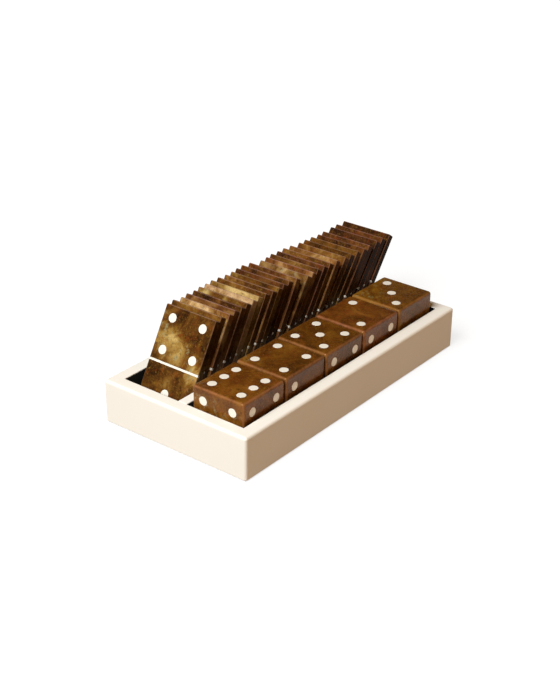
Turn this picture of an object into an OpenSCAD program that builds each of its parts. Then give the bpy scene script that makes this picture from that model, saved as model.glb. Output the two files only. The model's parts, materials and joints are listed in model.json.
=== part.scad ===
// Open games tray in cream lacquer, with a row of 28 leaning horn dominoes in
// one bay and five horn dice in the other.
// Millimetres. +Z is up. +X runs along the tray, from the end that the front
// domino faces to the end that the row leans on. The dice bay is on the -Y side
// and the domino bay on the +Y side. The origin is the centre of the underside,
// on the surface that the tray stands on.

/* [Dominoes] */
// Length of a domino
tile_l = 44.4; // [40:0.1:52]
// Width of a domino
tile_w = 24.9; // [20:0.1:30]
// Thickness of a domino
tile_t = 3.25; // [2.8:0.05:4.6]
// Rounding along the edges of a domino
tile_edge_r = 0.45; // [0.2:0.05:0.8]
// Radius of a pip on a domino
tile_pip_r = 1.9; // [1.2:0.05:2.2]
// Distance across a half from its middle to the pips at the sides
tile_pip_across = 7.6; // [6:0.1:8.2]
// Distance along a half from its middle to the pips at its ends
tile_pip_along = 6.4; // [5.5:0.1:7]
// Width of the inlaid bar between the two halves
bar_w = 1; // [0.6:0.1:2]
// Depth of the bar's groove
bar_depth = 0.9; // [0.5:0.1:1.5]

/* [Row of dominoes] */
// Lean of the front dominoes from upright, in degrees
lean_front = 29.5; // [20:0.5:36]
// Lean of the middle dominoes from upright, in degrees
lean_middle = 33; // [20:0.5:38]
// Lean of the last dominoes from upright, in degrees
lean_last = 36.2; // [30:0.1:42]
// Room at the foot where the front dominoes end and the middle ones begin
front_parting = 0.8; // [0:0.1:4]
// Room at the foot where the middle dominoes end and the last ones begin
middle_parting = 1.2; // [0:0.1:4]
// Room at the foot in front of the last three dominoes
end_parting = 2; // [0:0.1:4]
// Room at the foot in front of the last domino
last_parting = 1; // [0:0.1:4]
// Clearance between neighbours that lie against each other
tile_gap = 0.12; // [0.1:0.01:0.5]
// Clearance between the last domino's back and the end rim that it leans on
rim_gap = 0.1; // [0.05:0.05:0.5]
// Clearance under the foot of each domino
foot_gap = 0.05; // [0:0.05:0.3]
// Room between the end lining and the front domino's lower front edge
front_gap = 1; // [0.5:0.1:12]
// Largest sideways stray of a domino from the middle of its bay
row_stray = 0.6; // [0:0.05:0.65]

/* [Dice] */
// Edge length of a die
die_s = 24.5; // [18:0.1:30]
// Rounding along the edges of a die
die_edge_r = 1.3; // [0.5:0.1:2.5]
// Radius of a pip on a die
die_pip_r = 1.9; // [1.2:0.05:2.2]
// Distance from the middle of a face to its outer pips
die_pip_off = 7; // [5:0.1:7.2]
// Clearance between neighbouring dice
dice_gap = 0.75; // [0.3:0.05:3]
// Least room between the end linings and the row of dice
dice_end_gap = 1.25; // [0.5:0.05:6]

/* [Inlay] */
// Depth of the pips in dominoes and dice
pip_depth = 0.9; // [0.5:0.1:1.5]
// Glue gap round every inlaid pip and bar
glue_gap = 0.05; // [0.03:0.01:0.1]

/* [Tray] */
// Height of the rim above the table
tray_h = 18.5; // [14:0.5:24]
// Thickness of the four outer walls
wall_t = 5.6; // [4.5:0.1:8]
// Rounding of the tray's outer top edges and corners
rim_r = 1.2; // [0.5:0.1:2]
// Thickness of the divider between the two bays
divider_t = 4.1; // [2.5:0.1:6]
// Thickness of the base board
base_t = 1.3; // [1:0.1:3]
// Width of the rebate in the walls that holds the base board
rebate_w = 2.6; // [1.5:0.1:3.5]
// Clearance on each side of the dominoes, to the lining
tile_side_gap = 0.8; // [0.7:0.05:3]
// Clearance on each side of the dice, to the lining
dice_side_gap = 1.05; // [0.4:0.05:3]

/* [Felt] */
// Thickness of the felt that lines the bays
lining_t = 0.4; // [0.3:0.1:0.8]
// Distance from the rim down to the top of the wall linings
lining_drop = 0.3; // [0.1:0.1:1.5]
// Thickness of the felt pad under the tray
pad_t = 0.5; // [0.3:0.1:1.5]
// Distance from the tray's outer faces in to the edge of the pad
pad_inset = 0.8; // [0.5:0.1:4]

/* [Hidden] */
$fn = 48;

// How far a cutting shape runs past the surface that it cuts
overcut = 1;

// Pips on the dominoes: a double-six set, with the 4-1 in front
TILE_COUNT = 28;
FRONT_TILE = [4, 1];
SET = [for (a = [6:-1:0], b = [a:-1:0]) [a, b]];
TILES = concat([FRONT_TILE], [for (t = SET) if (t != FRONT_TILE) t]);

// Pips on each die's top, -Y face and -X face, as [count, quarter turned]
DICE = [
    [[6, true], [5, false], [4, false]],
    [[4, false], [2, true], [6, false]],
    [[5, false], [4, false], [6, false]],
    [[2, false], [6, false], [4, false]],
    [[3, false], [1, false], [5, false]],
];
DIE_COUNT = len(DICE);

// Places of the pips for the counts 0 to 6, in steps from the middle
CENTRE = [[0, 0]];
PAIR = [[-1, -1], [1, 1]];
CORNERS = concat(PAIR, [[-1, 1], [1, -1]]);
SIDES = [[-1, 0], [1, 0]];
PIPS = [
    [],
    CENTRE,
    PAIR,
    concat(PAIR, CENTRE),
    CORNERS,
    concat(CORNERS, CENTRE),
    concat(CORNERS, SIDES),
];

// Heights of the tray's layers
board_z = pad_t;
felt_z = board_z + base_t;
floor_z = felt_z + lining_t;
lining_top = tray_h - lining_drop;

// The row has parted into bunches. Each has its count of dominoes, their lean
// and the room at the foot in front of it
BUNCHES = [
    [14, lean_front, 0],
    [6, lean_middle, front_parting],
    [5, lean_last, middle_parting],
    [2, lean_last, end_parting],
    [1, lean_last, last_parting],
];
LEANS = [for (b = BUNCHES) for (k = [1:b[0]]) b[1]];
ROOMS = [for (b = BUNCHES) for (k = [1:b[0]]) k == 1 ? b[2] : 0];
function lean(i) = LEANS[i];

// Where each domino stands across its bay, in halves of row_stray. Those below
// 0 stand out on the side of the dice
STRAYS = [
    -1, 1, -2, 0, -1, 1, 1, 2, 1, -1, -1, 1, 2, -1,
    -2, -1, 1, 0, 0, -2,
    1, 1, 0, -2, -1,
    0, 0, -1,
];
function stray(i) = row_stray * STRAYS[i] / 2;

// From one foot to the next, so that the pair clear each other: at the foot of
// the next one where it leans more, and at the top of this one where it leans less
function foot_step(i) = ROOMS[i + 1] + (lean(i + 1) < lean(i)
    ? (tile_gap + tile_t + tile_l * sin(lean(i) - lean(i + 1))) / cos(lean(i + 1))
    : (tile_gap + tile_t * cos(lean(i + 1) - lean(i))) / cos(lean(i)));
function foot_run(i) = i == 0 ? 0 : foot_run(i - 1) + foot_step(i - 1);
foot_z = floor_z + foot_gap;
// The last domino's back passes the inner edge of the end rim
last_foot = (tray_h - foot_z) * tan(lean_last) + rim_gap / cos(lean_last);
front_run = lining_t + front_gap + tile_t * cos(lean_front);
tile_run = front_run + foot_run(TILE_COUNT - 1) + last_foot;

// The longer of the two rows sets the length of both bays
dice_run = DIE_COUNT * die_s + (DIE_COUNT - 1) * dice_gap + 2 * (dice_end_gap + lining_t);
bay_l = max(tile_run, dice_run);
tile_bay_w = tile_w + 2 * (tile_side_gap + lining_t);
dice_bay_w = die_s + 2 * (dice_side_gap + lining_t);
tray_l = bay_l + 2 * wall_t;
tray_w = tile_bay_w + dice_bay_w + divider_t + 2 * wall_t;

// Middle lines of the bays and of the divider
dice_bay_y = -tray_w / 2 + wall_t + dice_bay_w / 2;
tile_bay_y = tray_w / 2 - wall_t - tile_bay_w / 2;
divider_y = dice_bay_y + (dice_bay_w + divider_t) / 2;

function foot_x(i) = bay_l / 2 - last_foot - foot_run(TILE_COUNT - 1) + foot_run(i);
function die_x(i) = (i - (DIE_COUNT - 1) / 2) * (die_s + dice_gap);

// Under the last domino the end lining stops below its sloping back
lean_drop = (lining_t + rim_gap) / tan(lean_last);

cream = [0.98, 0.94, 0.87];
felt_black = [0.06, 0.06, 0.07];
horn = [0.37, 0.23, 0.10];
bone = [0.96, 0.93, 0.86];

function two_digits(n) = str(n < 10 ? "0" : "", n);

// Plain helpers

module slab(size_x, size_y, z0, z1) {
    translate([-size_x / 2, -size_y / 2, z0]) cube([size_x, size_y, z1 - z0]);
}

module rounded_rect(a, b, r) {
    square([a - 2 * r, b], center = true);
    square([a, b - 2 * r], center = true);
    for (x = [-1, 1], y = [-1, 1]) translate([x * (a / 2 - r), y * (b / 2 - r)]) circle(r);
}

// A block with every edge rounded, its middle at the origin
module eased_block(size, r) {
    intersection() {
        linear_extrude(size.z, center = true) rounded_rect(size.x, size.y, r);
        rotate([90, 0, 0]) linear_extrude(size.y, center = true) rounded_rect(size.x, size.z, r);
        rotate([90, 0, 90]) linear_extrude(size.x, center = true) rounded_rect(size.y, size.z, r);
    }
}

// Puts its children at each pip of a face that lies in the XY plane
module at_pips(count, turned, off_x, off_y) {
    for (p = PIPS[count])
        translate(turned ? [-p.y * off_x, p.x * off_y] : [p.x * off_x, p.y * off_y]) children();
}

// Walls of the tray

// Section of a wall: the outer face is at x = 0, and the board sits in its foot
module wall_section() {
    difference() {
        union() {
            translate([0, board_z]) square([wall_t, tray_h - rim_r - board_z]);
            translate([rim_r, board_z]) square([wall_t - rim_r, tray_h - board_z]);
            translate([rim_r, tray_h - rim_r]) circle(rim_r);
        }
        translate([wall_t - rebate_w, board_z - overcut]) square([rebate_w + overcut, base_t + overcut]);
    }
}

// A wall of the length run, mitred at both ends, with its outer face on -X
module mitred_wall(run, depth) {
    intersection() {
        rotate([90, 0, 0]) linear_extrude(run, center = true) wall_section();
        linear_extrude(tray_h + overcut)
            polygon([[0, -run / 2], [wall_t, wall_t - run / 2], [wall_t, run / 2 - wall_t], [0, run / 2]]);
        translate([depth / 2, 0]) linear_extrude(tray_h + overcut) rounded_rect(depth, run, rim_r);
    }
}

module front_wall() {
    color(cream) translate([-tray_l / 2, 0, 0]) mitred_wall(tray_w, tray_l);
}

module end_wall() {
    color(cream) rotate([0, 0, 180]) translate([-tray_l / 2, 0, 0]) mitred_wall(tray_w, tray_l);
}

module dice_side_wall() {
    color(cream) rotate([0, 0, 90]) translate([-tray_w / 2, 0, 0]) mitred_wall(tray_l, tray_w);
}

module domino_side_wall() {
    color(cream) rotate([0, 0, -90]) translate([-tray_w / 2, 0, 0]) mitred_wall(tray_l, tray_w);
}

module divider() {
    color(cream) translate([0, divider_y]) slab(bay_l, divider_t, felt_z, tray_h);
}

// Base and linings

module base_board() {
    rim = wall_t - rebate_w;
    color(cream) slab(tray_l - 2 * rim, tray_w - 2 * rim, board_z, felt_z);
}

module base_pad() {
    color(felt_black) slab(tray_l - 2 * pad_inset, tray_w - 2 * pad_inset, 0, pad_t);
}

module floor_felt(bay_y, bay_w) {
    color(felt_black) translate([0, bay_y]) slab(bay_l, bay_w, felt_z, floor_z);
}

// Four strips of felt round the walls of a bay, standing on the floor felt
module wall_lining(bay_y, bay_w) {
    color(felt_black) translate([0, bay_y]) difference() {
        slab(bay_l, bay_w, floor_z, lining_top);
        slab(bay_l - 2 * lining_t, bay_w - 2 * lining_t, floor_z - overcut, lining_top + overcut);
    }
}

module dice_bay_floor_felt() {
    floor_felt(dice_bay_y, dice_bay_w);
}

module domino_bay_floor_felt() {
    floor_felt(tile_bay_y, tile_bay_w);
}

module dice_bay_lining() {
    wall_lining(dice_bay_y, dice_bay_w);
}

module domino_bay_lining() {
    difference() {
        wall_lining(tile_bay_y, tile_bay_w);
        translate([bay_l / 2 - lining_t - overcut, tile_bay_y - tile_bay_w / 2 + lining_t, tray_h - lean_drop])
            cube([lining_t + 2 * overcut, tile_bay_w - 2 * lining_t, lean_drop]);
    }
}

// Dice

// Turns its children from the top of a die to each face in turn, and gives
// the face's pip count and turn as $pips: opposite faces add up to seven
module on_faces(marks) {
    turns = [[0, 0, 0], [90, 0, 0], [0, -90, 0]];
    for (k = [0:2]) {
        $turned = marks[k][1];
        $count = marks[k][0];
        rotate(turns[k]) translate([0, 0, die_s / 2]) children();
        rotate(turns[k]) rotate([180, 0, 0]) translate([0, 0, die_s / 2]) {
            $count = 7 - marks[k][0];
            children();
        }
    }
}

module place_die(i) {
    translate([die_x(i), dice_bay_y, floor_z + die_s / 2]) children();
}

module die(i) {
    color(horn) place_die(i) difference() {
        eased_block([die_s, die_s, die_s], die_edge_r);
        on_faces(DICE[i]) at_pips($count, $turned, die_pip_off, die_pip_off)
            translate([0, 0, -pip_depth]) cylinder(r = die_pip_r, h = pip_depth + overcut);
    }
}

module die_pips(i) {
    color(bone) place_die(i) on_faces(DICE[i]) at_pips($count, $turned, die_pip_off, die_pip_off)
        translate([0, 0, glue_gap - pip_depth]) cylinder(r = die_pip_r - glue_gap, h = pip_depth - glue_gap);
}

// Dominoes

// Turns its children from the XY plane, with Y along the domino, to its front
// face, and moves them to the middle of the face
module on_tile_face() {
    translate([-tile_t, 0, tile_l / 2]) rotate([90, 0, -90]) children();
}

module at_tile_pips(i) {
    for (half = [0, 1])
        translate([0, (1 - 2 * half) * tile_l / 4])
            at_pips(TILES[i][half], false, tile_pip_across, tile_pip_along) children();
}

module tile_block() {
    translate([-tile_t / 2, 0, tile_l / 2]) eased_block([tile_t, tile_w, tile_l], tile_edge_r);
}

// Space for the bar, drawn in by the gap given
module bar_space(gap) {
    translate([-tile_t - overcut, -tile_w, (tile_l - bar_w) / 2 + gap])
        cube([bar_depth - gap + overcut, 2 * tile_w, bar_w - 2 * gap]);
}

// A domino stands on its lower back edge, which is the Y axis here
module tile(i) {
    color(horn) difference() {
        tile_block();
        bar_space(0);
        on_tile_face() at_tile_pips(i)
            translate([0, 0, -pip_depth]) cylinder(r = tile_pip_r, h = pip_depth + overcut);
    }
    color(bone) intersection() {
        tile_block();
        bar_space(glue_gap);
    }
    color(bone) on_tile_face() at_tile_pips(i)
        translate([0, 0, glue_gap - pip_depth]) cylinder(r = tile_pip_r - glue_gap, h = pip_depth - glue_gap);
}

module domino(i) {
    translate([foot_x(i), tile_bay_y + stray(i), foot_z]) rotate([0, lean(i), 0]) tile(i);
}

base_pad();
base_board();
front_wall();
end_wall();
dice_side_wall();
domino_side_wall();
divider();
dice_bay_floor_felt();
domino_bay_floor_felt();
dice_bay_lining();
domino_bay_lining();
for (i = [0:DIE_COUNT - 1]) {
    die(i);
    die_pips(i);
}
for (i = [0:TILE_COUNT - 1])
    domino(i);
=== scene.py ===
"""An open cream-lacquered tray with a leaning row of horn dominoes and a row of
horn dice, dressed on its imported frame. Lengths are in metres."""

import json
import math
import random

import bmesh
import bpy
from mathutils import Matrix, Vector


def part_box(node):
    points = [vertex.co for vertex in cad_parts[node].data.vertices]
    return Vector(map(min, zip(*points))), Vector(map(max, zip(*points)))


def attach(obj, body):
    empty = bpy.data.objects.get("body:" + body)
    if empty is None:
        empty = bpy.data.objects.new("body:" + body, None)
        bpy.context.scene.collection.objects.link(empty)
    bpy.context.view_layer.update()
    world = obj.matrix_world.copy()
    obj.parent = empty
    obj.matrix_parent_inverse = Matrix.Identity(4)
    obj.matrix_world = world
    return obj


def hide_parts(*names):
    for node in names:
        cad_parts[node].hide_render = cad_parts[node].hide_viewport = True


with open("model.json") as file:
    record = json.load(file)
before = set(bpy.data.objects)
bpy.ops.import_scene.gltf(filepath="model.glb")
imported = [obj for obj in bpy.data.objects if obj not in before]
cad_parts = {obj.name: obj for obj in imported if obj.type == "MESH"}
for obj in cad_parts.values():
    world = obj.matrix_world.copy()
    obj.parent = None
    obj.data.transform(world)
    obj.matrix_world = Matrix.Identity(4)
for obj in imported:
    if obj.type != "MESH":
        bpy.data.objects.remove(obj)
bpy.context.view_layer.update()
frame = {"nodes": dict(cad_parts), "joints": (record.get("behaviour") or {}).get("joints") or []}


# The photograph's view
# A long lens looks down at the tray from beyond the front domino, and the
# camera is rolled a little.

MM = 0.001
# The photograph's long side and its lens's focal length in pixels, and the sensor in millimetres
PHOTO_LONG_SIDE = 700
FOCAL_PX = 1409
SENSOR = 36
aim = Vector((2.0, 5.7, 12.0)) * MM
camera_distance = 576.4 * MM
heading, down, roll = (math.radians(a) for a in (37.61, 27.37, 0.79))

look = Vector((math.cos(heading) * math.cos(down), math.sin(heading) * math.cos(down), -math.sin(down)))
level = look.cross(Vector((0, 0, 1))).normalized()
upward = level.cross(look)
right = level * math.cos(roll) + upward * math.sin(roll)
up = upward * math.cos(roll) - level * math.sin(roll)
camera = bpy.data.objects.new("camera", bpy.data.cameras.new("camera"))
camera.data.lens = FOCAL_PX * SENSOR / PHOTO_LONG_SIDE
camera.data.sensor_width = SENSOR
camera.data.clip_start = 0.01
camera.matrix_world = Matrix.Translation(aim - look * camera_distance) @ Matrix(
    (right, up, -look)
).transposed().to_4x4()
bpy.context.scene.collection.objects.link(camera)
bpy.context.scene.camera = camera


# Tray walls
# Four mitred lengths of wood round a base board, sprayed with cream lacquer
# after assembly. The outer top edge and corners are rubbed round, and the
# inner rim is left crisp.


def linear(code):
    """An sRGB hex colour as linear red, green, blue and alpha."""
    channels = [int(code[i : i + 2], 16) / 255 for i in (1, 3, 5)]
    return [c / 12.92 if c <= 0.04045 else ((c + 0.055) / 1.055) ** 2.4 for c in channels] + [1]


# A mix node's sockets go by number, because their names repeat
FACTOR, COLOUR_A, COLOUR_B, MIXED_COLOUR = 0, 6, 7, 2
VECTOR_A, VECTOR_B, MIXED_VECTOR = 4, 5, 1


def add(tree, kind, feeds=None, **settings):
    """Adds a node with its settings. feeds gives each input a value or the socket that feeds it."""
    node = tree.nodes.new(kind)
    for name, value in settings.items():
        setattr(node, name, value)
    for name, value in (feeds or {}).items():
        if isinstance(value, bpy.types.NodeSocket):
            tree.links.new(value, node.inputs[name])
        else:
            node.inputs[name].default_value = value
    return node


def new_material(name):
    """An empty material, and its node tree and surface socket."""
    material = bpy.data.materials.new(name)
    material.use_nodes = True
    tree = material.node_tree
    tree.nodes.clear()
    return material, tree, add(tree, "ShaderNodeOutputMaterial").inputs["Surface"]


def lacquer():
    """Sprayed cream lacquer, rubbed to a soft gloss: faint orange peel and a tone that drifts."""
    material, tree, surface = new_material("cream_lacquer")
    place = add(tree, "ShaderNodeTexCoord").outputs["Object"]
    drift = add(tree, "ShaderNodeTexNoise", {"Vector": place, "Scale": 1 / (40 * MM), "Detail": 2})
    tone = add(
        tree,
        "ShaderNodeMix",
        {FACTOR: drift.outputs["Fac"], COLOUR_A: linear("#f8f0e5"), COLOUR_B: linear("#f5ebde")},
        data_type="RGBA",
    )
    peel = add(tree, "ShaderNodeTexNoise", {"Vector": place, "Scale": 1 / (0.9 * MM), "Detail": 3})
    bump = add(
        tree,
        "ShaderNodeBump",
        {"Height": peel.outputs["Fac"], "Strength": 0.04, "Distance": 0.2 * MM},
    )
    gloss = add(
        tree,
        "ShaderNodeMapRange",
        {"Value": drift.outputs["Fac"], "To Min": 0.38, "To Max": 0.46},
    )
    shader = add(
        tree,
        "ShaderNodeBsdfPrincipled",
        {
            "Base Color": tone.outputs[MIXED_COLOUR],
            "Roughness": gloss.outputs["Result"],
            "IOR": 1.5,
            "Specular IOR Level": 0.35,
            "Coat Weight": 0.1,
            "Coat Roughness": 0.3,
            "Normal": bump.outputs["Normal"],
        },
    )
    tree.links.new(shader.outputs["BSDF"], surface)
    return material


def shade(mesh):
    """Smooth shading that stays crisp where faces meet at more than 38 degrees."""
    mesh.shade_smooth()
    mesh.set_sharp_from_angle(angle=math.radians(38))


def new_piece(name, mesh, material, body, nodes, place=None):
    """An object for the mesh that stands for the CAD nodes and rides on the body."""
    piece = bpy.data.objects.new(name, mesh)
    bpy.context.scene.collection.objects.link(piece)
    mesh.materials.append(material)
    if place is not None:
        piece.matrix_world = place
    weighted = piece.modifiers.new("even_normals", "WEIGHTED_NORMAL")
    weighted.keep_sharp = True
    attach(piece, body)
    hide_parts(*nodes)
    return piece


def arc(centre_e, centre_z, radius, start, end, steps):
    """Points of a round stretch of a section, from one angle to the other in degrees."""
    angles = [math.radians(start + (end - start) * k / steps) for k in range(steps + 1)]
    return [(centre_e + radius * math.cos(a), centre_z + radius * math.sin(a)) for a in angles]


front_lo, front_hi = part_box("front_wall")
board_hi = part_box("base_board")[1]
half_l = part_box("end_wall")[1].x
half_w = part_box("domino_side_wall")[1].y
foot_z, rim_z = front_lo.z, front_hi.z
wall_t = front_hi.x - front_lo.x
rebate = board_hi.x - (half_l - wall_t)
MITRE = math.radians(45)
RIM_R = 1.2 * MM
INNER_R = 0.25 * MM
FOOT_R = 0.3 * MM
# Faces round the large outer edge, and round a small one
ARC_STEPS = 8
EASE_STEPS = 3

# Section of a wall as (inset from the outer face, height)
wall_section = (
    arc(FOOT_R, foot_z + FOOT_R, FOOT_R, 270, 180, EASE_STEPS)
    + arc(RIM_R, rim_z - RIM_R, RIM_R, 180, 90, ARC_STEPS)
    + arc(wall_t - INNER_R, rim_z - INNER_R, INNER_R, 90, 0, EASE_STEPS)
    + [(wall_t, board_hi.z), (wall_t - rebate, board_hi.z), (wall_t - rebate, foot_z)]
)


def mitred_wall(half_run, half_depth, turn):
    """A wall along Y with its outer face on -X, mitred at both ends, then turned about Z. Its outer
    corners are rounded: there the section is swung about the corner's axis as far as the mitre."""
    stations = []
    for k in range(ARC_STEPS + 1):
        phi = MITRE * (1 - k / ARC_STEPS)
        ring = []
        for e, z in wall_section:
            if e < RIM_R:
                along = RIM_R - (RIM_R - e) * math.sin(phi)
                inset = RIM_R - (RIM_R - e) * math.cos(phi)
            else:
                along = e + RIM_R * k / ARC_STEPS
                inset = e
            ring.append((inset - half_depth, along - half_run, z))
        stations.append(ring)
    mirrored = [[(x, -y, z) for x, y, z in ring] for ring in reversed(stations)]
    bm = bmesh.new()
    rings = [[bm.verts.new(p) for p in ring] for ring in stations + mirrored]
    count = len(wall_section)
    for a, b in zip(rings, rings[1:]):
        for k in range(count):
            bm.faces.new((a[k], a[(k + 1) % count], b[(k + 1) % count], b[k]))
    bm.faces.new(rings[0])
    bm.faces.new(reversed(rings[-1]))
    bm.transform(Matrix.Rotation(math.radians(turn), 4, "Z"))
    bmesh.ops.recalc_face_normals(bm, faces=bm.faces)
    mesh = bpy.data.meshes.new("wall")
    bm.to_mesh(mesh)
    bm.free()
    shade(mesh)
    return mesh


cream_lacquer = lacquer()
for name, node, half_run, half_depth, turn in (
    ("front_rail", "front_wall", half_w, half_l, 0),
    ("end_rail", "end_wall", half_w, half_l, 180),
    ("near_rail", "dice_side_wall", half_l, half_w, 90),
    ("far_rail", "domino_side_wall", half_l, half_w, -90),
):
    rail = mitred_wall(half_run, half_depth, turn)
    new_piece(name, rail, cream_lacquer, "tray", [node])


# Divider and base board
# The divider is a flush strip of the same lacquered wood, butted between the
# end walls. The base board is let into the walls' rebate, hidden by felt.


def eased_slab(lo, hi, radius, steps=EASE_STEPS):
    """A slab between two corners with every edge rounded."""
    bm = bmesh.new()
    bmesh.ops.create_cube(bm, size=1)
    bmesh.ops.scale(bm, vec=hi - lo, verts=bm.verts)
    bmesh.ops.bevel(
        bm,
        geom=bm.edges,
        offset=radius,
        offset_type="OFFSET",
        segments=steps,
        profile=0.5,
        affect="EDGES",
    )
    bmesh.ops.translate(bm, vec=(lo + hi) / 2, verts=bm.verts)
    return bm


def finished(bm, name):
    """The bmesh as a shaded mesh."""
    mesh = bpy.data.meshes.new(name)
    bm.to_mesh(mesh)
    bm.free()
    shade(mesh)
    return mesh


divider_mesh = finished(eased_slab(*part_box("divider"), INNER_R), "divider_strip")
new_piece("divider_strip", divider_mesh, cream_lacquer, "tray", ["divider"])
board = frame["nodes"]["base_board"]
board.data.materials.clear()
board.data.materials.append(cream_lacquer)


# Felt pad and linings
# Thin black wool felt, glued under the base and over the floor and walls of
# both bays. Its cut edges are soft.


def felt():
    """Pressed wool felt: a matted nap of short fibres, dull, with a faint dusting of lighter hairs."""
    material, tree, surface = new_material("black_felt")
    place = add(tree, "ShaderNodeTexCoord").outputs["Object"]
    nap = add(
        tree,
        "ShaderNodeTexNoise",
        {"Vector": place, "Scale": 1 / (0.35 * MM), "Detail": 6, "Roughness": 0.7},
    )
    tufts = add(tree, "ShaderNodeTexVoronoi", {"Vector": place, "Scale": 1 / (0.8 * MM)})
    tone = add(
        tree,
        "ShaderNodeMix",
        {FACTOR: nap.outputs["Fac"], COLOUR_A: linear("#060606"), COLOUR_B: linear("#121110")},
        data_type="RGBA",
    )
    height = add(
        tree,
        "ShaderNodeMath",
        {0: nap.outputs["Fac"], 1: tufts.outputs["Distance"]},
        operation="ADD",
    )
    bump = add(
        tree,
        "ShaderNodeBump",
        {"Height": height.outputs[0], "Strength": 0.6, "Distance": 0.15 * MM},
    )
    shader = add(
        tree,
        "ShaderNodeBsdfPrincipled",
        {
            "Base Color": tone.outputs[MIXED_COLOUR],
            "Roughness": 0.95,
            "Specular IOR Level": 0.2,
            "Sheen Weight": 0.05,
            "Sheen Roughness": 0.5,
            "Normal": bump.outputs["Normal"],
        },
    )
    tree.links.new(shader.outputs["BSDF"], surface)
    return material


black_felt = felt()
FELT_EDGE = 0.15 * MM
floor_lo, floor_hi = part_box("domino_bay_floor_felt")
LINING_T = floor_hi.z - floor_lo.z
lining_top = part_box("dice_bay_lining")[1].z
# Under the last domino the end strip is cut down, clear of its back
LEANING_CUT = 0.45 * MM


def joined(parts, name):
    """Several bmeshes as one shaded mesh."""
    whole = bmesh.new()
    for part in parts:
        loose = bpy.data.meshes.new("part")
        part.to_mesh(loose)
        part.free()
        whole.from_mesh(loose)
        bpy.data.meshes.remove(loose)
    return finished(whole, name)


def lining_strips(node, end_top):
    """Two long and two short strips round a bay. The strip at the far end stops at end_top."""
    lo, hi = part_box(node)
    t = LINING_T
    strips = [
        (Vector((lo.x, lo.y, lo.z)), Vector((hi.x, lo.y + t, hi.z))),
        (Vector((lo.x, hi.y - t, lo.z)), Vector((hi.x, hi.y, hi.z))),
        (Vector((lo.x, lo.y + t, lo.z)), Vector((lo.x + t, hi.y - t, hi.z))),
        (Vector((hi.x - t, lo.y + t, lo.z)), Vector((hi.x, hi.y - t, end_top))),
    ]
    return joined([eased_slab(a, b, FELT_EDGE) for a, b in strips], node)


for name, node in (
    ("base_felt", "base_pad"),
    ("dice_floor", "dice_bay_floor_felt"),
    ("domino_floor", "domino_bay_floor_felt"),
):
    pad = finished(eased_slab(*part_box(node), FELT_EDGE), name)
    new_piece(name, pad, black_felt, "tray", [node])
for name, node, end_top in (
    ("dice_lining", "dice_bay_lining", lining_top),
    ("domino_lining", "domino_bay_lining", lining_top - LEANING_CUT),
):
    new_piece(name, lining_strips(node, end_top), black_felt, "tray", [node])


# Dice
# Five cubes sawn from solid horn and tumbled, so that their edges are round.
# Flat-bottomed holes are drilled for the pips, which are discs of bone glued in
# and ground flush.


def horn_layers(tree, spot):
    """The clouds and specks in horn, by name, each as a value from 0 to 1."""
    layers = {}
    # Each layer's blob size in millimetres, octaves, their roughness and how far it is swirled
    for layer, size, octaves, rough, swirl in (
        ("cloud", 11, 7, 0.62, 0.9),
        ("rust", 4, 6, 0.68, 0.6),
        ("olive", 2.2, 6, 0.72, 0.4),
        ("char", 1.3, 5, 0.7, 0.3),
        ("fleck", 0.6, 3, 0.7, 0),
        ("scuff", 1.5, 5, 0.7, 0),
    ):
        layers[layer] = add(
            tree,
            "ShaderNodeTexNoise",
            {
                "Vector": spot,
                "Scale": 1 / (size * MM),
                "Detail": octaves,
                "Roughness": rough,
                "Distortion": swirl,
            },
        ).outputs["Fac"]
    return layers


# The vein lies along a plane with this normal, which blobs bend, and fades out at its half width
VEIN_NORMAL = (0.2, -0.43, 0.88)
VEIN_BEND = 8 * MM
VEIN_HALF_W = 9 * MM


def in_vein(tree, place, half_height, crossing, blobs):
    """How far into the vein a point is, from 0 outside it to 1 in its middle."""
    rise = add(tree, "ShaderNodeVectorMath", {0: place, 1: VEIN_NORMAL}, operation="DOT_PRODUCT")
    height = add(
        tree,
        "ShaderNodeMapRange",
        {"Value": crossing, "To Min": -half_height, "To Max": half_height},
    )
    off_plane = add(
        tree,
        "ShaderNodeMath",
        {0: rise.outputs["Value"], 1: height.outputs["Result"]},
        operation="SUBTRACT",
    )
    bend = add(tree, "ShaderNodeMapRange", {"Value": blobs, "To Min": -VEIN_BEND, "To Max": VEIN_BEND})
    off_vein = add(
        tree,
        "ShaderNodeMath",
        {0: off_plane.outputs[0], 1: bend.outputs["Result"]},
        operation="ADD",
    )
    gap = add(tree, "ShaderNodeMath", {0: off_vein.outputs[0]}, operation="ABSOLUTE")
    return add(
        tree,
        "ShaderNodeMapRange",
        {"Value": gap.outputs[0], "From Max": VEIN_HALF_W, "To Min": 1, "To Max": 0},
        interpolation_type="SMOOTHSTEP",
    ).outputs["Result"]


def depths_below(tree, place, half):
    """How far a point lies below the sides (Y), below the ends (Z) and from the nearest edge, which
    is the middle one of the depths below the three pairs of faces."""
    away = add(tree, "ShaderNodeVectorMath", {0: place}, operation="ABSOLUTE").outputs["Vector"]
    depths = add(tree, "ShaderNodeVectorMath", {0: half, 1: away}, operation="SUBTRACT")
    x, y, z = add(tree, "ShaderNodeSeparateXYZ", {"Vector": depths.outputs["Vector"]}).outputs
    shallow = add(tree, "ShaderNodeMath", {0: x, 1: y}, operation="MINIMUM")
    deep = add(tree, "ShaderNodeMath", {0: x, 1: y}, operation="MAXIMUM")
    middle = add(tree, "ShaderNodeMath", {0: deep.outputs[0], 1: z}, operation="MINIMUM")
    to_edge = add(
        tree,
        "ShaderNodeMath",
        {0: shallow.outputs[0], 1: middle.outputs[0]},
        operation="MAXIMUM",
    )
    return y, z, to_edge.outputs[0]


# How far apart in the horn, in metres, a piece of red 0 and one of red 1 were cut
CUT_SPAN = (0.9, 0.7, 0.5)
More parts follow.
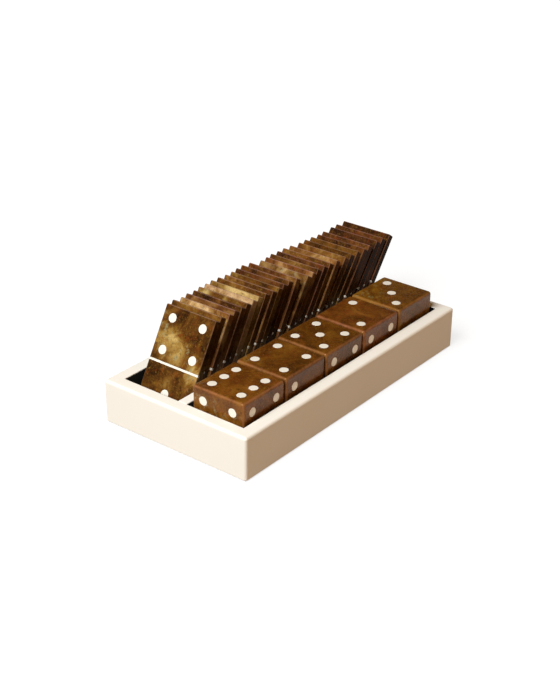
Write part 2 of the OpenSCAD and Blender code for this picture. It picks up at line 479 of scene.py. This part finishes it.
# Between these depths below a side or an end, its own colour fades in
SKIN_OUT = 0.35 * MM
SKIN_IN = 0.1 * MM


def horn(name, half, tones, edge, edge_code, shine, painted_side_shade=0, sawn_tones=()):
    """Polished horn, layers of keratin from near black to honey: cloudy and flecked, with a vein of
    honey. Along the edges it is paler, partly from wear and partly as a painted highlight. A plate's
    long sides carry painted shade, lighter towards its ends, and its ends, sawn across the layers,
    are pale. The polish is scuffed. half is the piece's half size, and edge is how far in the paler
    edge reaches. Each piece's object colour holds where in the horn it was cut (red), how much honey
    it has (green), how light it is (blue) and how high its vein crosses it (alpha)."""
    material, tree, surface = new_material(name)
    place = add(tree, "ShaderNodeTexCoord").outputs["Object"]
    own = add(tree, "ShaderNodeObjectInfo").outputs
    cut_from = add(tree, "ShaderNodeSeparateColor", {"Color": own["Color"]}).outputs
    spot = add(
        tree,
        "ShaderNodeVectorMath",
        {0: cut_from["Red"], 1: CUT_SPAN, 2: place},
        operation="MULTIPLY_ADD",
    ).outputs["Vector"]
    layers = horn_layers(tree, spot)

    # The vein adds honey, and is milky in places
    vein = in_vein(tree, place, half[2], own["Alpha"], layers["rust"])
    honey = add(
        tree,
        "ShaderNodeMath",
        {0: vein, 1: 0.2, 2: cut_from["Green"]},
        operation="MULTIPLY_ADD",
    )
    milky = add(tree, "ShaderNodeMath", {0: vein, 1: 0.85}, operation="MULTIPLY")
    cloudy = add(tree, "ShaderNodeMath", {0: layers["cloud"], 1: 0.5}, operation="SUBTRACT")
    amount = add(tree, "ShaderNodeMath", {0: honey.outputs[0], 1: cloudy.outputs[0]}, operation="ADD")
    ramps = []
    for stretch in (tones, sawn_tones):
        ramp = add(tree, "ShaderNodeValToRGB", {"Fac": amount.outputs[0]})
        stops = ramp.color_ramp.elements
        while len(stops) < len(stretch):
            stops.new(0.5)
        for stop, (position, code) in zip(stops, stretch):
            stop.position = position
            stop.color = linear(code)
        ramps.append(ramp.outputs["Color"])
    along_layers, across_layers = ramps

    # The edges are painted paler, partly as wear and partly as a painted highlight, more in some places
    # than in others
    side_depth, end_depth, to_edge = depths_below(tree, place, half)
    wear_and_highlight = add(
        tree,
        "ShaderNodeMapRange",
        {"Value": layers["rust"], "From Min": 0.35, "From Max": 0.6, "To Min": 0.3, "To Max": 0.9},
    )
    # Painted shade on the long sides: half as dark at the ends, where light gets in, and fully dark from 5
    # mm below them
    shaded = add(
        tree,
        "ShaderNodeMapRange",
        {"Value": end_depth, "From Max": 5 * MM, "To Min": painted_side_shade / 2, "To Max": painted_side_shade},
    )
    # What lies over the clouds: the value it follows, where that starts and ends, how much and what colour
    tone = along_layers
    for follows, low, high, most, over in (
        (layers["olive"], 0.46, 0.36, milky.outputs[0], linear("#8f8460")),
        (layers["rust"], 0.48, 0.7, 0.5, linear("#7a3a12")),
        (layers["olive"], 0.53, 0.67, 0.42, linear("#7c5b1a")),
        (layers["char"], 0.46, 0.34, 0.55, linear("#2c1708")),
        (layers["fleck"], 0.58, 0.7, 0.5, linear("#a07838")),
        # Painted shade: the long sides darkened towards near black
        (side_depth, SKIN_OUT, SKIN_IN, shaded.outputs["Result"], linear("#150c04")),
        (end_depth, SKIN_OUT, SKIN_IN, 1 if sawn_tones else 0, across_layers),
        # Paler edges: part wear, part painted highlight
        (to_edge, edge, 0, wear_and_highlight.outputs["Result"], linear(edge_code)),
    ):
        shown = add(
            tree,
            "ShaderNodeMapRange",
            {"Value": follows, "From Min": low, "From Max": high, "To Max": most},
            interpolation_type="SMOOTHSTEP",
        )
        tone = add(
            tree,
            "ShaderNodeMix",
            {FACTOR: shown.outputs["Result"], COLOUR_A: tone, COLOUR_B: over},
            data_type="RGBA",
        ).outputs[MIXED_COLOUR]

    # Some pieces are mauve and some are olive
    cast = add(
        tree,
        "ShaderNodeMix",
        {FACTOR: cut_from["Red"], VECTOR_A: (1.05, 0.94, 1.3), VECTOR_B: (0.97, 1.02, 0.8)},
        data_type="VECTOR",
    ).outputs[MIXED_VECTOR]
    lit = add(tree, "ShaderNodeVectorMath", {0: cast, 1: cut_from["Blue"]}, operation="MULTIPLY")
    tinted = add(tree, "ShaderNodeVectorMath", {0: tone, 1: lit.outputs["Vector"]}, operation="MULTIPLY")

    gloss = add(
        tree,
        "ShaderNodeMapRange",
        {"Value": layers["scuff"], "From Min": 0.3, "From Max": 0.7, "To Min": 0.18, "To Max": 0.34},
    )
    bump = add(
        tree,
        "ShaderNodeBump",
        {"Height": layers["scuff"], "Strength": 0.08, "Distance": 0.1 * MM},
    )
    shader = add(
        tree,
        "ShaderNodeBsdfPrincipled",
        {
            "Base Color": tinted.outputs["Vector"],
            "Roughness": gloss.outputs["Result"],
            "IOR": 1.54,
            "Specular IOR Level": shine,
            "Specular Tint": linear("#f2c08c"),
            "Normal": bump.outputs["Normal"],
        },
    )
    tree.links.new(shader.outputs["BSDF"], surface)
    return material


def bone(bar_reach):
    """Bleached bone ground flush and polished: off-white, with faint grain pits. The ends of the
    dominoes' bars, at bar_reach from the middle, are darkened with painted shade, like the long sides they
    lie in."""
    material, tree, surface = new_material("bone_inlay")
    place = add(tree, "ShaderNodeTexCoord").outputs["Object"]
    grain = add(tree, "ShaderNodeTexNoise", {"Vector": place, "Scale": 1 / (0.6 * MM), "Detail": 4})
    tone = add(
        tree,
        "ShaderNodeMix",
        {FACTOR: grain.outputs["Fac"], COLOUR_A: linear("#f7ede0"), COLOUR_B: linear("#ebe0cf")},
        data_type="RGBA",
    )
    # Painted shade: the bars darken towards their ends, which lie in the shaded long sides
    aside = add(tree, "ShaderNodeSeparateXYZ", {"Vector": place}).outputs["Y"]
    off_middle = add(tree, "ShaderNodeMath", {0: aside}, operation="ABSOLUTE")
    painted_end_shade = add(
        tree,
        "ShaderNodeMapRange",
        {
            "Value": off_middle.outputs[0],
            "From Min": bar_reach - 0.15 * MM,
            "From Max": bar_reach - 0.05 * MM,
            "To Max": 0.85,
        },
    )
    end_shaded_tone = add(
        tree,
        "ShaderNodeMix",
        {
            FACTOR: painted_end_shade.outputs["Result"],
            COLOUR_A: tone.outputs[MIXED_COLOUR],
            COLOUR_B: linear("#84735a"),
        },
        data_type="RGBA",
    )
    bump = add(
        tree,
        "ShaderNodeBump",
        {"Height": grain.outputs["Fac"], "Strength": 0.1, "Distance": 0.05 * MM},
    )
    shader = add(
        tree,
        "ShaderNodeBsdfPrincipled",
        {
            "Base Color": end_shaded_tone.outputs[MIXED_COLOUR],
            "Roughness": 0.3,
            "IOR": 1.54,
            "Coat Weight": 0.5,
            "Coat Roughness": 0.2,
            "Normal": bump.outputs["Normal"],
        },
    )
    tree.links.new(shader.outputs["BSDF"], surface)
    return material


# Places of the pips for the counts 0 to 6, in steps from the middle
CORNERS = [(-1, -1), (1, 1), (-1, 1), (1, -1)]
PIPS = [
    [],
    [(0, 0)],
    CORNERS[:2],
    CORNERS[:2] + [(0, 0)],
    CORNERS,
    CORNERS + [(0, 0)],
    CORNERS + [(-1, 0), (1, 0)],
]
PIP_R = 1.9 * MM
PIP_DEPTH = 0.9 * MM
GLUE_GAP = 0.05 * MM
# Grinding eases the edges of the bone
BONE_EASE = 0.06 * MM
PIP_SIDES = 36


def lathe(bm, place, profile, sides=PIP_SIDES):
    """Turns a profile of (radius, height) points, closed at both ends, and puts it at the place."""
    rings = []
    for radius, height in profile:
        angles = [2 * math.pi * k / sides for k in range(sides)]
        points = [Vector((radius * math.cos(a), radius * math.sin(a), height)) for a in angles]
        rings.append([bm.verts.new(place @ p) for p in points])
    for a, b in zip(rings, rings[1:]):
        for k in range(sides):
            bm.faces.new((a[k], a[(k + 1) % sides], b[(k + 1) % sides], b[k]))
    bm.faces.new(list(reversed(rings[0])))
    bm.faces.new(rings[-1])


def add_hole(bm, place):
    """A pip's hole, as a cutter that stands proud of the face."""
    lathe(bm, place, [(PIP_R, -PIP_DEPTH), (PIP_R, PIP_DEPTH)])


def add_pip(bm, place):
    """A bone disc in its hole, with its rim eased."""
    radius = PIP_R - GLUE_GAP
    lathe(bm, place, [(radius, GLUE_GAP - PIP_DEPTH), (radius, -BONE_EASE), (radius - BONE_EASE, 0)])


def cut(block, cutter, name):
    """The block with the cutter taken out of it, as a shaded mesh."""
    pair = []
    for bm in (block, cutter):
        bmesh.ops.recalc_face_normals(bm, faces=bm.faces)
        mesh = bpy.data.meshes.new(name)
        bm.to_mesh(mesh)
        bm.free()
        solid = bpy.data.objects.new(name + "_cutting", mesh)
        bpy.context.scene.collection.objects.link(solid)
        pair.append(solid)
    carve = pair[0].modifiers.new("carve", "BOOLEAN")
    carve.operation = "DIFFERENCE"
    carve.solver = "EXACT"
    carve.object = pair[1]
    graph = bpy.context.evaluated_depsgraph_get()
    result = bpy.data.meshes.new_from_object(pair[0].evaluated_get(graph))
    result.name = name
    for solid in pair:
        bpy.data.objects.remove(solid)
    shade(result)
    return result


def box_corners(half):
    """The lowest and highest corner of a box about the origin."""
    corner = Vector(half)
    return -corner, corner


DIE_HALF = 24.5 / 2 * MM
DIE_R = 1.3 * MM
DIE_R_STEPS = 6
DIE_PIP_OFF = 7 * MM
# Pips on each die's top, -Y face and -X face, and whether they are a quarter turned
DICE = [
    ((6, True), (5, False), (4, False)),
    ((4, False), (2, True), (6, False)),
    ((5, False), (4, False), (6, False)),
    ((2, False), (6, False), (4, False)),
    ((3, False), (1, False), (5, False)),
]
FACE_TURNS = [
    Matrix.Identity(4),
    Matrix.Rotation(math.radians(90), 4, "X"),
    Matrix.Rotation(math.radians(-90), 4, "Y"),
]


def die_pip_places(marks):
    """Where each of the 21 pips sits: opposite faces add up to seven."""
    places = []
    for (count, turned), turn in zip(marks, FACE_TURNS):
        for number, face in ((count, turn), (7 - count, turn @ Matrix.Rotation(math.pi, 4, "X"))):
            for u, v in PIPS[number]:
                if turned:
                    u, v = -v, u
                offset = Matrix.Translation((u * DIE_PIP_OFF, v * DIE_PIP_OFF, DIE_HALF))
                places.append(face @ offset)
    return places


tile_lo, tile_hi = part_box("domino_01")
bone_inlay = bone((tile_hi.y - tile_lo.y) / 2)
die_horn = horn(
    "die_horn",
    (DIE_HALF, DIE_HALF, DIE_HALF),
    tones=[(0.3, "#3a2008"), (0.45, "#5a3109"), (0.58, "#70420e"), (0.75, "#8e5e1e")],
    edge=1.2 * MM,
    # The paler edge colour is part wear, part painted highlight
    edge_code="#a66f45",
    shine=0.38,
)
dice_tints = random.Random(11)
for number, marks in enumerate(DICE, 1):
    name = f"die_{number}"
    lo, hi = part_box(name)
    place = Matrix.Translation((lo + hi) / 2)
    holes = bmesh.new()
    pips = bmesh.new()
    for spot in die_pip_places(marks):
        add_hole(holes, spot)
        add_pip(pips, spot)
    lo, hi = box_corners((DIE_HALF, DIE_HALF, DIE_HALF))
    blank = cut(eased_slab(lo, hi, DIE_R, DIE_R_STEPS), holes, name + "_cube")
    cube = new_piece(name + "_cube", blank, die_horn, name + "_body", [name], place)
    cube.color = (
        dice_tints.random(),
        dice_tints.uniform(0.46, 0.52),
        dice_tints.uniform(0.84, 0.98),
        dice_tints.random(),
    )
    discs = finished(pips, name + "_discs")
    new_piece(name + "_discs", discs, bone_inlay, name + "_body", [name + "_pips"], place)


# Dominoes
# A double-six set sawn from horn plates and polished. A bone bar is let into a
# groove across each face, flush at both side edges, and the pips are bone discs
# in drilled holes.

TILE_T, TILE_W, TILE_L = 3.25 * MM, 24.9 * MM, 44.4 * MM
TILE_EDGE = 0.45 * MM
TILE_PIP_ACROSS, TILE_PIP_ALONG = 7.6 * MM, 6.4 * MM
BAR_W, BAR_DEPTH = 1.0 * MM, 0.9 * MM
BAR_END_GAP = 0.02 * MM
GROOVE_EASE = 0.01 * MM
# The pips on each domino, above and below its bar, from the front
FRONT_TILE = (4, 1)
DOUBLE_SIX = [(a, b) for a in range(6, -1, -1) for b in range(a, -1, -1)]
TILES = [FRONT_TILE] + [halves for halves in DOUBLE_SIX if halves != FRONT_TILE]
# Where in the horn the front domino was cut, and how high its vein crosses it
FRONT_CUT, FRONT_VEIN = 0.74, 0.6
# How much honey the dominoes have that stand out, pale or dark, counted from the front
HONEY = {1: 0.42, 4: 0.56, 7: 0.82, 8: 0.64, 16: 0.58, 20: 0.6, 26: 0.38, 27: 0.4, 28: 0.34}


def tile_pip_places(halves):
    """Where the pips sit on the front face, which looks to -X, with the first half on top."""
    face = Matrix.Translation((-TILE_T / 2, 0, 0)) @ Matrix.Rotation(math.radians(-90), 4, "Y")
    places = []
    for count, middle in zip(halves, (TILE_L / 4, -TILE_L / 4)):
        for u, v in PIPS[count]:
            places.append(face @ Matrix.Translation((middle + v * TILE_PIP_ALONG, u * TILE_PIP_ACROSS, 0)))
    return places


tile_horn = horn(
    "domino_horn",
    (TILE_T / 2, TILE_W / 2, TILE_L / 2),
    tones=[(0.3, "#2e1a0b"), (0.44, "#513012"), (0.56, "#6d471c"), (0.7, "#9a773e"), (0.86, "#d0b074")],
    edge=0.45 * MM,
    # The paler edge colour is part wear, part painted highlight
    edge_code="#8f684e",
    shine=0.02,
    # How dark the painted shade on the dominoes' long sides is
    painted_side_shade=0.75,
    sawn_tones=[
        (0.3, "#63453a"),
        (0.44, "#7c5b49"),
        (0.56, "#93705a"),
        (0.7, "#b0906c"),
        (0.86, "#dcbc84"),
    ],
)
tile_tints = random.Random(5)
tile_axes = {j["child"]: Vector(j["axis"]) for j in frame["joints"]}
for number, halves in enumerate(TILES, 1):
    name = f"domino_{number:02d}"
    body = name + "_body"
    lo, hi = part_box(name)
    lean = math.atan2(tile_axes[body].x, tile_axes[body].z)
    place = Matrix.Translation((lo + hi) / 2) @ Matrix.Rotation(lean, 4, "Y")

    # The groove's cutter stands out past the face and the sides, and the bar ends just inside them
    lo, hi = box_corners((BAR_DEPTH, TILE_W, BAR_W / 2))
    groove = eased_slab(lo, hi, GROOVE_EASE, 1)
    bmesh.ops.translate(groove, vec=(-TILE_T / 2, 0, 0), verts=groove.verts)
    bar_half_t = BAR_DEPTH / 2 - GLUE_GAP / 2
    lo, hi = box_corners((bar_half_t, TILE_W / 2 - BAR_END_GAP, BAR_W / 2 - GLUE_GAP))
    bar = eased_slab(lo, hi, BONE_EASE, 2)
    bmesh.ops.translate(bar, vec=(bar_half_t - TILE_T / 2, 0, 0), verts=bar.verts)
    for spot in tile_pip_places(halves):
        add_hole(groove, spot)
        add_pip(bar, spot)
    lo, hi = box_corners((TILE_T / 2, TILE_W / 2, TILE_L / 2))
    blank = cut(eased_slab(lo, hi, TILE_EDGE), groove, name + "_blank")
    plate = new_piece(name + "_blank", blank, tile_horn, body, [name], place)
    cut_from = tile_tints.triangular(0, 1, 0.2)
    plate.color = (
        FRONT_CUT if number == 1 else cut_from,
        HONEY.get(number, tile_tints.uniform(0.4, 0.54)),
        tile_tints.uniform(0.8, 1.08),
        FRONT_VEIN if number == 1 else tile_tints.random(),
    )
    inlay = finished(bar, name + "_inlay")
    new_piece(name + "_inlay", inlay, bone_inlay, body, [name], place)


# Studio
# A pale sweep that rises all round, a large softbox high on the side that the
# front domino faces, a weak warm one low beside the dice, and a dim warm room.

# The sweep has a small disc in its middle, then rings of faces out to the rise and up it
HUB_R = 0.02
FLOOR_R = 2.5
SWEEP_R = 0.8
SWEEP_RINGS = 10
SWEEP_SIDES = 96
sweep = [(HUB_R + FLOOR_R * k / SWEEP_RINGS, 0.0) for k in range(SWEEP_RINGS + 1)]
for k in range(1, SWEEP_RINGS):
    climb = math.radians(90 * k / SWEEP_RINGS)
    sweep.append((HUB_R + FLOOR_R + SWEEP_R * math.sin(climb), SWEEP_R * (1 - math.cos(climb))))
bm = bmesh.new()
lathe(bm, Matrix.Identity(4), sweep, SWEEP_SIDES)
caps = [face for face in bm.faces if len(face.verts) == SWEEP_SIDES]
top = max(caps, key=lambda cap: cap.calc_center_median().z)
bmesh.ops.delete(bm, geom=[top], context="FACES")
bmesh.ops.reverse_faces(bm, faces=bm.faces)
floor = bpy.data.objects.new("floor", finished(bm, "floor"))
bpy.context.scene.collection.objects.link(floor)


def paper():
    """Matt paper, tan in the light that it throws on the tray. What the camera and the gloss of the
    pieces see of it is lifted to white, and it keeps the shadow."""
    material, tree, surface = new_material("paper")
    rays = add(tree, "ShaderNodeLightPath").outputs
    camera_or_gloss = add(
        tree,
        "ShaderNodeMath",
        {0: rays["Is Camera Ray"], 1: rays["Is Glossy Ray"]},
        operation="MAXIMUM",
    )
    seen = add(
        tree,
        "ShaderNodeMath",
        {0: camera_or_gloss.outputs[0], 1: rays["Is Transmission Ray"]},
        operation="MAXIMUM",
    ).outputs[0]
    tone = add(
        tree,
        "ShaderNodeMix",
        {FACTOR: seen, COLOUR_A: linear("#735a3e"), COLOUR_B: linear("#959595")},
        data_type="RGBA",
    )
    matt = add(tree, "ShaderNodeBsdfDiffuse", {"Color": tone.outputs[MIXED_COLOUR]})
    # Far from the tray less lamplight falls on it, so it glows more there
    place = add(tree, "ShaderNodeTexCoord").outputs["Object"]
    away = add(tree, "ShaderNodeVectorMath", {0: place}, operation="LENGTH").outputs["Value"]
    white = add(
        tree,
        "ShaderNodeMapRange",
        {"Value": away, "From Min": 0.15, "From Max": 0.6, "To Min": 0.79, "To Max": 0.97},
    ).outputs["Result"]
    lift = add(tree, "ShaderNodeMath", {0: seen, 1: white}, operation="MULTIPLY").outputs[0]
    glow = add(tree, "ShaderNodeEmission", {"Strength": lift})
    both = add(tree, "ShaderNodeAddShader", {0: matt.outputs[0], 1: glow.outputs[0]})
    tree.links.new(both.outputs[0], surface)
    return material


floor.data.materials.append(paper())

world = bpy.data.worlds.new("room")
world.use_nodes = True
room = world.node_tree.nodes["Background"]
room.inputs["Color"].default_value = (0.10, 0.06, 0.02, 1)
room.inputs["Strength"].default_value = 1
bpy.context.scene.world = world

# Each lamp's place and size in metres, its power in watts and its tint
for name, place, size, power, tint in (
    ("key_softbox", (-0.789, 0.0, 0.831), 0.7, 19.4, (0.92, 0.975, 1.0)),
    ("fill_softbox", (0.1, -1.0, 0.3), 0.6, 1.82, (1.0, 0.54, 0.13)),
):
    softbox = bpy.data.objects.new(name, bpy.data.lights.new(name, "AREA"))
    softbox.data.shape = "SQUARE"
    softbox.data.size = size
    softbox.data.energy = power
    softbox.data.color = tint
    softbox.location = place
    softbox.rotation_euler = (-softbox.location).to_track_quat("-Z", "Y").to_euler()
    bpy.context.scene.collection.objects.link(softbox)

bpy.context.scene.view_settings.view_transform = "Standard"
